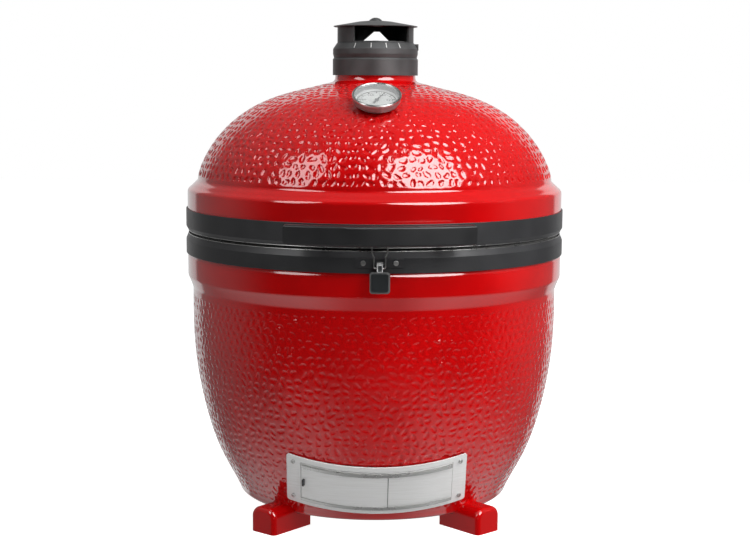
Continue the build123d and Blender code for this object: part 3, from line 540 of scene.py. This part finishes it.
def cutter(vertices, faces):
    mesh = bpy.data.meshes.new("cutter")
    mesh.from_pydata(vertices, [], faces)
    mesh.materials.append(finish["refractory"])
    obj = bpy.data.objects.new("cutter", mesh)
    bpy.context.scene.collection.objects.link(obj)
    tidy = bmesh.new()
    tidy.from_mesh(mesh)
    bmesh.ops.recalc_face_normals(tidy, faces=tidy.faces)
    tidy.to_mesh(mesh)
    tidy.free()
    return obj


def prism(outline, to_3d, near, far):
    """A closed prism between two copies of an outline."""
    count = len(outline)
    vertices = [to_3d(x, y, near) for x, y in outline] + [to_3d(x, y, far) for x, y in outline]
    faces = [tuple(range(count)), tuple(range(count, 2 * count))]
    faces += [(k, (k + 1) % count, count + (k + 1) % count, count + k) for k in range(count)]
    return cutter(vertices, faces)


def arched(half_x, low, low_side, high, high_side, steps=24):
    """The draft opening seen from the front: arched bottom and top edges."""
    xs = [half_x * (2 * k / steps - 1) for k in range(steps + 1)]
    bottom = [(x, low + (low_side - low) * (x / half_x) ** 2) for x in xs]
    top = [(x, high + (high_side - high) * (x / half_x) ** 2) for x in reversed(xs)]
    return [(x * MM, z * MM) for x, z in bottom + top]


def flatten_lands(obj, points, seed):
    """Turns the normals between dimples towards those of the plain outline, with a slight wave."""
    mesh = obj.data
    profile = Profile(points)
    spots = np.empty(len(mesh.vertices) * 3)
    mesh.vertices.foreach_get("co", spots)
    spots = spots.reshape(-1, 3)
    radius = np.hypot(spots[:, 0], spots[:, 1])
    low, high = profile.points[0, 1], profile.points[-1, 1]
    outline = np.interp(spots[:, 2], profile.points[:, 1], profile.points[:, 0])
    on_skin = (np.abs(radius - outline) < 2e-5) & (spots[:, 2] > low - 1e-6) & (spots[:, 2] < high)
    across, up = (np.interp(spots[:, 2], profile.points[:, 1], column) for column in profile.normal.T)
    smooth = np.column_stack([across * spots[:, 0] / np.maximum(radius, 1e-6),
                              across * spots[:, 1] / np.maximum(radius, 1e-6), up])
    smooth += np.random.default_rng(seed).normal(0, LAND_WAVE, smooth.shape)
    corners = np.empty(len(mesh.loops) * 3)
    mesh.corner_normals.foreach_get("vector", corners)
    corners = corners.reshape(-1, 3)
    owner = np.empty(len(mesh.loops), dtype=np.int32)
    mesh.loops.foreach_get("vertex_index", owner)
    change = on_skin[owner] & ((corners * smooth[owner]).sum(1) > 0.3)
    corners[change] = LAND_FLAT * smooth[owner][change] + (1 - LAND_FLAT) * corners[change]
    corners /= np.linalg.norm(corners, axis=1)[:, None]
    mesh.normals_split_custom_set(corners.tolist())


def make_base():
    shell = Shell()
    side = cubic(BASE_SIDE, 150, (0.45, 1), (0, 1))
    cove = cubic(BASE_COVE, 20, (0, 1), (0, 1))
    corner = [(CORNER_FROM + CORNER_WIDE * math.sin(a), BASE_BOTTOM_Z + CORNER_HIGH * (1 - math.cos(a)))
              for a in (TURN / 4 * k / 6 for k in range(0, 6))]
    start = next(k for k, (_, z) in enumerate(side) if z > BASE_DIMPLES_FROM_Z)
    low = shell.loft(None, [(BOTTOM_FLAT_R, BASE_BOTTOM_Z), *corner, *side[0:start + 1:2]], GLAZED)
    if (start % 2) == 1:
        low = shell.loft(low, [side[start]], GLAZED)
    shell.cap(list(range(COLUMNS)), BASE_BOTTOM_Z, False, BARE)
    high = dimpled_patch(shell, low, side[start:-3], GLAZED, BASE_DIMPLE, 7)
    rim = [*RIM_GROOVE, (RIM_R, BASE_RIM_Z - 8), (RIM_R - 5.5, BASE_RIM_Z)]
    top = shell.loft(high, [*side[-2:], *cove[1:], *rim], GLAZED)
    inside = cubic(BASE_INSIDE, 34)
    low_r, low_z = BASE_INSIDE[-1]
    floor = [(low_r - 36 + 36 * math.cos(a), BASE_FLOOR_Z + (low_z - BASE_FLOOR_Z) * (1 - math.sin(a)))
             for a in (TURN / 4 * k / 8 for k in range(1, 9))]
    last = shell.loft(top, [(RIM_IN_R + 1.5, BASE_RIM_Z), (RIM_IN_R, BASE_RIM_Z - 1.5), *inside, *floor],
                      BARE)
    shell.cap(last, BASE_FLOOR_Z, True, BARE)
    obj = ceramic("ceramic_base", shell, "base", "base")
    opening = arched(*DRAFT_OPENING)
    bore(obj, prism(opening, lambda x, z, y: (x, y, z), -0.40, -0.12))
    flatten_lands(obj, side[start:-3], 3)
    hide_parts("base")


def make_dome():
    shell = Shell()
    cove = cubic(DOME_COVE, 24, (0, 1), (-0.12, 1))
    side = cubic(DOME_SIDE, 130, (-0.12, 1), (-1, 0.28))
    neck = cubic(DOME_NECK, 8, (-1, 0.28), (0, 1))
    stop = next(k for k, (r, _) in enumerate(side) if r < DOME_DIMPLES_TO_R)
    low = shell.loft(None, [(RIM_IN_R, DOME_RIM_Z)], BARE)
    first = low
    inward, upward = RIM_CHAMFER
    low = shell.loft(low, [(RIM_R - inward, DOME_RIM_Z), (RIM_R, DOME_RIM_Z + upward), (RIM_R, 560), *cove,
                           side[1]], GLAZED)
    high = dimpled_patch(shell, low, side[1:stop], GLAZED, DOME_DIMPLE, 11)
    high = shell.loft(high, [*side[stop::2], *neck[1:], (NECK_R, NECK_TOP)], GLAZED)
    inside = cubic(DOME_INSIDE, 40)[::-1]
    last = shell.loft(high, [(CHIMNEY_R, NECK_TOP), *CHIMNEY_FOOT, *inside], BARE)
    shell.join(last, first, BARE)
    obj = ceramic("ceramic_dome", shell, "dome", "dome")
    hole = [(STEM_HOLE_R * math.cos(a), STEM_HOLE_R * math.sin(a))
            for a in (TURN * k / 32 for k in range(32))]
    bore(obj, prism(hole, lambda x, y, z: tuple(GAUGE @ Vector((x, y, z))), -0.06, 0.02))
    flatten_lands(obj, side[1:stop], 5)
    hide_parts("dome")


# ---- Springs, dial, highlight hems, painted shade strips and other small pieces ---
def tube(path, radius, sides=10):
    """Vertices and faces of a round wire along a path."""
    path = [Vector(p) for p in path]
    vertices, faces = [], []
    side = Vector((1, 0, 0))
    for k, spot in enumerate(path):
        ahead = (path[min(k + 1, len(path) - 1)] - path[max(k - 1, 0)]).normalized()
        side = (side - ahead * side.dot(ahead)).normalized()
        other = ahead.cross(side)
        vertices += [spot + radius * (math.cos(a) * side + math.sin(a) * other)
                     for a in (TURN * i / sides for i in range(sides))]
    for k in range(len(path) - 1):
        for i in range(sides):
            n = (i + 1) % sides
            faces.append((k * sides + i, k * sides + n, (k + 1) * sides + n, (k + 1) * sides + i))
    last = len(vertices) - sides
    faces += [tuple(reversed(range(sides))), tuple(range(last, last + sides))]
    return vertices, faces


def make_spring(name, side):
    """A wound torsion spring on the hinge pin with a leg down to the lower bracket."""
    coil_r, wire_r, turns, steps = 0.0109, 0.00155, 10, 28
    inner, outer = 0.0104, 0.0416
    path = []
    for k in range(turns * steps + 1):
        turn = TURN * k / steps
        x = side * (inner + (outer - inner) * k / (turns * steps))
        path.append((x, SPRING_Y - coil_r * math.sin(turn), SPRING_Z - coil_r * math.cos(turn)))
    leg_in = [(path[0][0], SPRING_Y + t, SPRING_Z - coil_r) for t in (0.0095, 0.006, 0.003)]
    leg_out = [(path[-1][0], SPRING_Y - t, SPRING_Z - coil_r) for t in (0.003, 0.006, 0.0105)]
    vertices, faces = tube(leg_in + path + leg_out, wire_r)
    obj = piece(name + "_wire", vertices, faces, "base", (finish["spring_steel"],))
    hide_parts(name)


def dial_marks():
    """Scale ring, ticks and numerals as flat shapes in the dial's own plane, in millimetres."""
    vertices, faces = [], []

    def shape(points):
        faces.append(tuple(range(len(vertices), len(vertices) + len(points))))
        vertices.extend(points)

    def polar(radius, degrees):
        a = math.radians(90 - degrees)
        return radius * math.cos(a), radius * math.sin(a)

    for inner, outer in ((33.1, 34.5), (27.5, 28.2)):
        for k in range(-72, 72):
            shape([polar(inner, 2 * k), polar(outer, 2 * k), polar(outer, 2 * k + 2),
                   polar(inner, 2 * k + 2)])
    for k in range(51):
        low, wide = (28.2, 1.9) if k % 5 == 0 else (31.0, 0.9)
        x, y = polar(1, -135 + 5.4 * k)
        half = wide / 2
        shape([(low * x - half * y, low * y + half * x), (low * x + half * y, low * y - half * x),
               (33.4 * x + half * y, 33.4 * y - half * x), (33.4 * x - half * y, 33.4 * y + half * x)])
    for k in range(0, 11, 2):
        curve = bpy.data.curves.new("numeral", "FONT")
        curve.body, curve.size, curve.align_x, curve.align_y = str(40 * k), 8.0, "CENTER", "CENTER"
        text = bpy.data.objects.new("numeral", curve)
        mesh = bpy.data.meshes.new_from_object(text)
        x, y = polar(22.5, -135 + 27 * k)
        first = len(vertices)
        vertices += [(v.co.x + x, v.co.y + y) for v in mesh.vertices]
        faces += [tuple(first + i for i in polygon.vertices) for polygon in mesh.polygons]
        bpy.data.objects.remove(text)
        bpy.data.meshes.remove(mesh)
    return vertices, faces


def make_dial():
    marks, faces = dial_marks()
    vertices = [GAUGE @ Vector((x * MM, y * MM, 0.00828)) for x, y in marks]
    piece("dial_print", vertices, faces, "dome", (finish["needle"],), smooth=False)


def ring_path(radius, z, half=178, steps=180):
    """Points round the kettle axis, open at the back."""
    turns = (math.radians(-half + 2 * half * k / steps) for k in range(steps + 1))
    return [(radius * math.sin(a), -radius * math.cos(a), z) for a in turns]


def make_hem_highlights():
    """The rolled edges of the two bands' lips in bright steel: painted highlight lines where the lip edges
    catch the light.
    """
    for name, body, radius, z in (("lower_hem_highlight", "base", 0.3488, 0.5199),
                                  ("upper_hem_highlight", "dome", 0.3491, 0.5257)):
        vertices, faces = tube(ring_path(radius, z), 0.0007, 8)
        # bright steel ring stands in for the highlight along each lip edge
        piece(name, vertices, faces, body, (finish["steel"],))


def make_door_edge_shadow():
    """A dark bead down the free edge of the sliding door: painted shadow where the door stands proud of the
    plate.
    """
    door = nodes["draft_door"]
    spots = [door.matrix_world @ v.co for v in door.data.vertices]
    reach = max(p.x for p in spots)
    edge = [p for p in spots if p.x > reach - 0.0004]
    ends = []
    for level in (min(p.z for p in edge), max(p.z for p in edge)):
        ends.append(min((p for p in edge if abs(p.z - level) < 0.003), key=lambda p: p.y))
    inset = (ends[1] - ends[0]) * 0.02
    vertices, faces = tube([ends[0] + inset, (ends[0] + ends[1]) / 2, ends[1] - inset], 0.0006, 8)
    # the dark bead is painted shadow along the door's edge
    piece("draft_door_shadow_bead", vertices, faces, "draft_door", (finish["dark_grip"],))


def make_lever_shade_strip():
    """A dark strip on the floor of the channel down the lever's neck: painted shade in the channel."""
    top, foot = Vector((0, -0.3670, 0.4980)), Vector((0, -0.3734, 0.4880))
    run = (foot - top) * 0.06
    outward = Vector((0, -0.842, 0.539))
    corners = [end + side * Vector((0.0031, 0, 0)) + outward * lift
               for lift in (0.0001, 0.0005) for end in (top + run, foot - run) for side in (-1, 1)]
    faces = [(0, 2, 3, 1), (4, 5, 7, 6), (0, 1, 5, 4), (2, 6, 7, 3), (0, 4, 6, 2), (1, 3, 7, 5)]
    # the dark strip is painted shade on the channel floor
    piece("lever_shade_strip", corners, faces, "latch_lever", (finish["dark_grip"],), smooth=False)


def make_vent_marks():
    """Light paint on the four raised marks of the vent's sloped face."""
    slope = math.radians(56.1)
    for number, degrees in enumerate((-31, -7.5, 13.5, 33.5)):
        place = (Matrix.Rotation(math.radians(degrees), 4, "Z") @ Matrix.Translation((0, -0.0755, 0.8655))
                 @ Matrix.Rotation(slope, 4, "X"))
        lift = 0.00068
        corners = [place @ Vector((x, y, lift)) for x, y in ((-0.0009, -0.0053), (0.0009, -0.0053),
                                                             (0.0009, 0.0053), (-0.0009, 0.0053))]
        piece(f"vent_mark_{number}", corners, [(0, 1, 2, 3)], "vent_body",
              (finish["paint"],), smooth=False)


# ---- Floor, light and camera ---------------------------------------------------
def make_stage():
    size = 9.0
    bpy.ops.mesh.primitive_plane_add(size=2 * size)
    floor = bpy.context.object
    floor.name = "floor"
    g = Graph("floor")
    g.set(Base_Color=(0.80, 0.80, 0.80, 1), Roughness=0.9, Specular_IOR_Level=0.0,
          Emission_Color=(1, 1, 1, 1), Emission_Strength=0.93)
    floor.data.materials.append(g.material)
    floor.visible_glossy = False           # the world stands for the floor in reflections
    floor.visible_diffuse = False


def lamp(name, place, aim, size, power):
    data = bpy.data.lights.new(name, "AREA")
    data.shape, data.size, data.size_y = "ELLIPSE", *size
    data.energy = power
    obj = bpy.data.objects.new(name, data)
    bpy.context.scene.collection.objects.link(obj)
    obj.location = place
    obj.rotation_euler = (Vector(aim) - Vector(place)).to_track_quat("-Z", "Y").to_euler()
    return obj


def make_world():
    """A bright backdrop behind the object, a pale floor near it and a dark room in front."""
    world = bpy.data.worlds.new("studio")
    bpy.context.scene.world = world
    world.use_nodes = True
    tree = world.node_tree
    background = tree.nodes["Background"]

    def add(kind, inputs, **properties):
        node = tree.nodes.new("ShaderNode" + kind)
        for key, value in properties.items():
            setattr(node, key, value)
        for key, value in inputs.items():
            if isinstance(value, bpy.types.NodeSocket):
                tree.links.new(value, node.inputs[key])
            else:
                node.inputs[key].default_value = value
        return node.outputs[0]

    def ease(value, low, high, to_low, to_high):
        return add("MapRange", {"Value": value, "From Min": low, "From Max": high, "To Min": to_low,
                                "To Max": to_high}, interpolation_type="SMOOTHSTEP")

    direction = tree.nodes.new("ShaderNodeTexCoord").outputs["Generated"]
    split = tree.nodes.new("ShaderNodeSeparateXYZ")
    tree.links.new(direction, split.inputs[0])
    wall = ease(split.outputs["X"], -0.3, 0.3, ROOM_LEFT, ROOM_RIGHT)
    room = ease(split.outputs["Y"], -0.5, 0.2, ROOM_FRONT, wall)
    behind = ease(split.outputs["Y"], 0.74, 0.80, 0.0, 1.0)
    low = ease(split.outputs["Z"], 0.42, 0.60, 1.0, 0.0)
    backdrop = add("Math", {0: behind, 1: low}, operation="MULTIPLY")
    below = ease(split.outputs["Z"], -0.22, -0.90, 0.0, 1.0)
    aside = add("Math", {0: split.outputs["X"]}, operation="ABSOLUTE")
    pale = ease(aside, 0.15, 0.60, NEAR_FLOOR_FRONT, NEAR_FLOOR_SIDE)
    near_floor = add("Math", {0: below, 1: pale}, operation="MULTIPLY")
    walls = add("Math", {0: room, 1: near_floor}, operation="MAXIMUM")
    lit = add("MapRange", {"Value": backdrop, "To Min": walls, "To Max": BACKDROP})
    seen = tree.nodes.new("ShaderNodeLightPath").outputs["Is Camera Ray"]
    strength = add("MapRange", {"Value": seen, "To Min": lit, "To Max": 1.0})
    tree.links.new(strength, background.inputs["Strength"])
    background.inputs["Color"].default_value = (1, 1, 1, 1)


ROOM_FRONT, ROOM_LEFT, ROOM_RIGHT, BACKDROP = 0.02, 0.20, 0.14, 0.70
NEAR_FLOOR_FRONT, NEAR_FLOOR_SIDE = 0.32, 0.8
AIM = (0, 0, 0.5)


def softbox(name, turn, rise, distance, size, radiance):
    """An oval lamp seen from the object at a turn from the front and a rise."""
    turn, rise = math.radians(turn), math.radians(rise)
    toward = Vector((math.sin(turn) * math.cos(rise), -math.cos(turn) * math.cos(rise), math.sin(rise)))
    place = Vector(AIM) + distance * toward
    return lamp(name, place, AIM, size, radiance * math.pi ** 2 / 4 * size[0] * size[1])


def make_light():
    make_world()
    for name, turn, rise, size, radiance in (("glint_right", 32, 36, (1.9, 2.2), 7.6),
                                             ("glint_left", -51, 34, (1.1, 2.0), 3.8)):
        glint = softbox(name, turn, rise, 2.6, size, radiance)
        glint.visible_diffuse = False
    for name, turn, rise, size, radiance in (("key", 37, 36, (1.9, 2.2), 3.6),
                                             ("fill_left", -56, 34, (1.1, 2.0), 2.2),
                                             ("fill_right", 78, 20, (1.5, 2.0), 5.4),
                                             ("overhead", 30, 72, (2.2, 2.2), 3.0)):
        fill = softbox(name, turn, rise, 2.6, size, radiance)
        fill.visible_glossy = False
    bounce = lamp("floor_bounce", (0.06, -0.95, 0.05), (0, -0.3, 0.11), (1.2, 0.08), 1.5)
    bounce.visible_glossy = False


def make_camera():
    distance, height = 2.8518, 0.8064
    pitch, side, roll = math.radians(7.42), math.radians(1.5), math.radians(0.37)
    data = bpy.data.cameras.new("camera")
    data.sensor_width = 36
    data.lens = 36 * 1511.2 / 750
    data.shift_x = 1.0 / 750
    obj = bpy.data.objects.new("camera", data)
    bpy.context.scene.collection.objects.link(obj)
    spin = Matrix.Rotation(-side, 4, "Z")
    look = Matrix.Rotation(math.pi / 2 - pitch, 4, "X")
    tilt = Matrix.Rotation(roll, 4, "Z")
    obj.matrix_world = spin @ Matrix.Translation((0, -distance, height)) @ look @ tilt
    bpy.context.scene.camera = obj
    bpy.context.scene.view_settings.view_transform = "Standard"


make_base()
make_dome()
make_spring("hinge_spring_left", -1)
make_spring("hinge_spring_right", 1)
make_dial()
make_vent_marks()
make_hem_highlights()
make_door_edge_shadow()
make_lever_shade_strip()
make_stage()
make_light()
make_camera()
